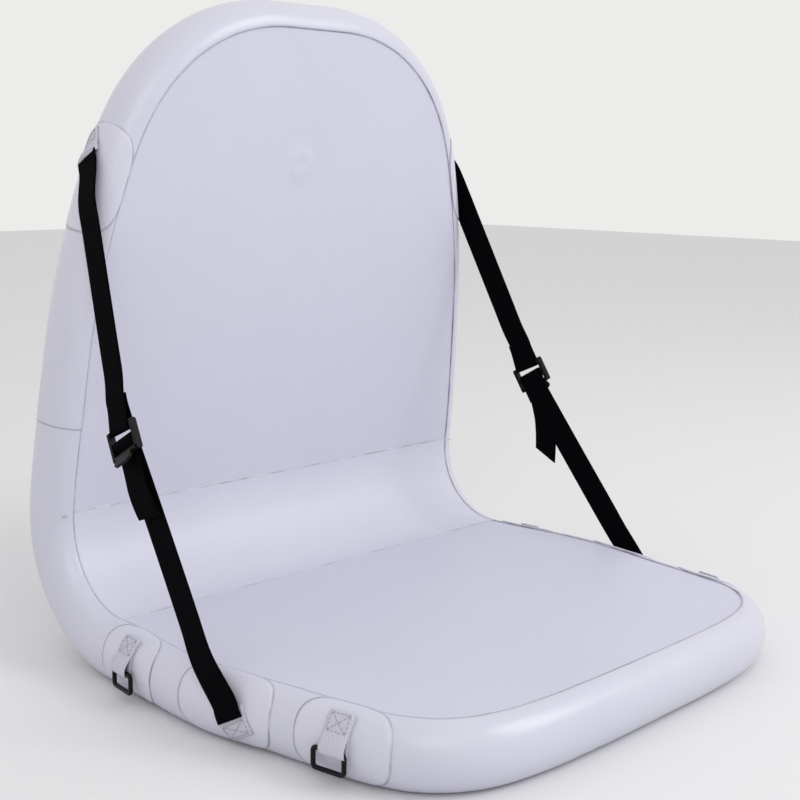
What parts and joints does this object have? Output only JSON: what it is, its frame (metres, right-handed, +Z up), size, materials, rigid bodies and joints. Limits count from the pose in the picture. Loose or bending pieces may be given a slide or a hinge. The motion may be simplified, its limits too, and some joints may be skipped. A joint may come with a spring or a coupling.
{
  "type": "inflatable kayak seat",
  "caption": "Inflatable drop-stitch kayak seat: a flat pad curving up into a high rounded backrest, with adjustable side straps, ladder-lock buckles and tie-down rings.",
  "frame": {"origin": "centre of the bounding box in X and Y, on the plane that the seat stands on", "axes": "+Z up, the seat's front towards -Y, X across; the shape is the same on both sides of X = 0; the sitter's left is +X"},
  "size_m": [0.5076, 0.464, 0.536],
  "materials": {
    "air_chamber": "woven drop-stitch",
    "coated_face_fabric": "matt, faint woven grain",
    "side_tape": "satin",
    "reinforcing_patch": "satin",
    "white_webbing": "woven",
    "black_webbing": "woven",
    "buckle_plastic": "fine texture",
    "ring_plastic": "smooth",
    "valve_plastic": "moulded",
    "valve_rubber": "matt",
    "spring_steel": "bright"
  },
  "bodies": {
    "seat": {"bend_core": "air_chamber", "bend_front_strip": "coated_face_fabric", "bend_rear_strip": "coated_face_fabric", "bend_tape_left": "side_tape", "bend_tape_right": "side_tape", "ring_loop_front_left": "white_webbing", "ring_loop_front_right": "white_webbing", "ring_loop_rear_left": "white_webbing", "ring_loop_rear_right": "white_webbing", "ring_patch_front_left": "reinforcing_patch", "ring_patch_front_right": "reinforcing_patch", "ring_patch_rear_left": "reinforcing_patch", "ring_patch_rear_right": "reinforcing_patch", "seat_bottom_skin": "coated_face_fabric", "seat_core": "air_chamber", "seat_side_tape": "side_tape", "seat_top_skin": "coated_face_fabric", "strap_patch_lower_left": "reinforcing_patch", "strap_patch_lower_right": "reinforcing_patch", "strap_tab_lower_left": "white_webbing", "strap_tab_lower_right": "white_webbing"},
    "backrest": {"backrest_core": "air_chamber", "backrest_front_skin": "coated_face_fabric", "backrest_rear_skin": "coated_face_fabric", "backrest_side_tape": "side_tape", "strap_patch_upper_left": "reinforcing_patch", "strap_patch_upper_right": "reinforcing_patch", "strap_tab_upper_left": "white_webbing", "strap_tab_upper_right": "white_webbing", "valve_body": "valve_plastic", "valve_gasket": "valve_rubber", "valve_spring": "spring_steel"},
    "valve_cap": {"valve_cap": "valve_plastic"},
    "valve_plunger": {"valve_plunger": "valve_plastic"},
    "strap_lower_left": {"strap_lower_left": "black_webbing", "strap_tail_left": "black_webbing"},
    "strap_upper_left": {"strap_upper_left": "black_webbing"},
    "buckle_left": {"buckle_left": "buckle_plastic"},
    "d_ring_front_left": {"d_ring_front_left": "ring_plastic"},
    "d_ring_rear_left": {"d_ring_rear_left": "ring_plastic"},
    "strap_lower_right": {"strap_lower_right": "black_webbing", "strap_tail_right": "black_webbing"},
    "strap_upper_right": {"strap_upper_right": "black_webbing"},
    "buckle_right": {"buckle_right": "buckle_plastic"},
    "d_ring_front_right": {"d_ring_front_right": "ring_plastic"},
    "d_ring_rear_right": {"d_ring_rear_right": "ring_plastic"}
  },
  "joints": [
    {"name": "backrest_recline", "type": "hinge", "parent": "seat", "child": "backrest", "pos_m": [0, 0.18441, 0.05536], "axis": [-1, 0, 0], "range_deg": [-5, 8], "stiffness_Nm_per_rad": 60, "deforming": ["bend_core", "bend_front_strip", "bend_rear_strip", "bend_tape_left", "bend_tape_right"]},
    {"name": "strap_swing_left", "type": "hinge", "parent": "seat", "child": "strap_lower_left", "pos_m": [0.25033, -0.04116, 0.025], "axis": [-1, 0, 0], "range_deg": [-3.3, 5.2]},
    {"name": "strap_adjust_left", "type": "slide", "parent": "strap_lower_left", "child": "strap_upper_left", "axis": [0, 0.587, 0.8096], "range_m": [-0.016, 0.0255], "deforming": ["strap_lower_left", "strap_tail_left"]},
    {"name": "buckle_lift_left", "type": "hinge", "parent": "strap_upper_left", "child": "buckle_left", "pos_m": [0.23655, 0.08979, 0.20744], "axis": [0, -0.8656, 0.5007], "range_deg": [0, 35]},
    {"name": "d_ring_swing_front_left", "type": "hinge", "parent": "seat", "child": "d_ring_front_left", "pos_m": [0.233, -0.13068, 0.025], "axis": [-0.1593, -0.9872, 0], "range_deg": [-4, 120]},
    {"name": "d_ring_swing_rear_left", "type": "hinge", "parent": "seat", "child": "d_ring_rear_left", "pos_m": [0.24778, 0.07955, 0.025], "axis": [0.1269, -0.9919, 0], "range_deg": [-4, 120]},
    {"name": "strap_swing_right", "type": "hinge", "parent": "seat", "child": "strap_lower_right", "pos_m": [-0.25033, -0.04116, 0.025], "axis": [-1, 0, 0], "range_deg": [-3.3, 5.2]},
    {"name": "strap_adjust_right", "type": "slide", "parent": "strap_lower_right", "child": "strap_upper_right", "axis": [0, 0.587, 0.8096], "range_m": [-0.016, 0.0255], "deforming": ["strap_lower_right", "strap_tail_right"]},
    {"name": "buckle_lift_right", "type": "hinge", "parent": "strap_upper_right", "child": "buckle_right", "pos_m": [-0.23655, 0.08979, 0.20744], "axis": [0, 0.8656, -0.5007], "range_deg": [0, 35]},
    {"name": "d_ring_swing_front_right", "type": "hinge", "parent": "seat", "child": "d_ring_front_right", "pos_m": [-0.233, -0.13068, 0.025], "axis": [-0.1593, 0.9872, 0], "range_deg": [-4, 120]},
    {"name": "d_ring_swing_rear_right", "type": "hinge", "parent": "seat", "child": "d_ring_rear_right", "pos_m": [-0.24778, 0.07955, 0.025], "axis": [0.1269, 0.9919, 0], "range_deg": [-4, 120]},
    {"name": "valve_cap_lift", "type": "slide", "parent": "backrest", "child": "valve_cap", "axis": [0, 0.9925, 0.1219], "range_m": [0, 0.015]},
    {"name": "valve_push", "type": "slide", "parent": "backrest", "child": "valve_plunger", "axis": [0, -0.9925, -0.1219], "range_m": [0, 0.005], "stiffness_N_per_m": 400, "springref_m": -0.0005, "deforming": ["valve_spring"]}
  ],
  "couplings": [
    {"joint": "strap_swing_left", "follows": "backrest_recline", "ratio": 0.6285},
    {"joint": "strap_adjust_left", "follows": "backrest_recline", "m_per_rad": 0.17751},
    {"joint": "strap_swing_right", "follows": "backrest_recline", "ratio": 0.6285},
    {"joint": "strap_adjust_right", "follows": "backrest_recline", "m_per_rad": 0.17751}
  ]
}
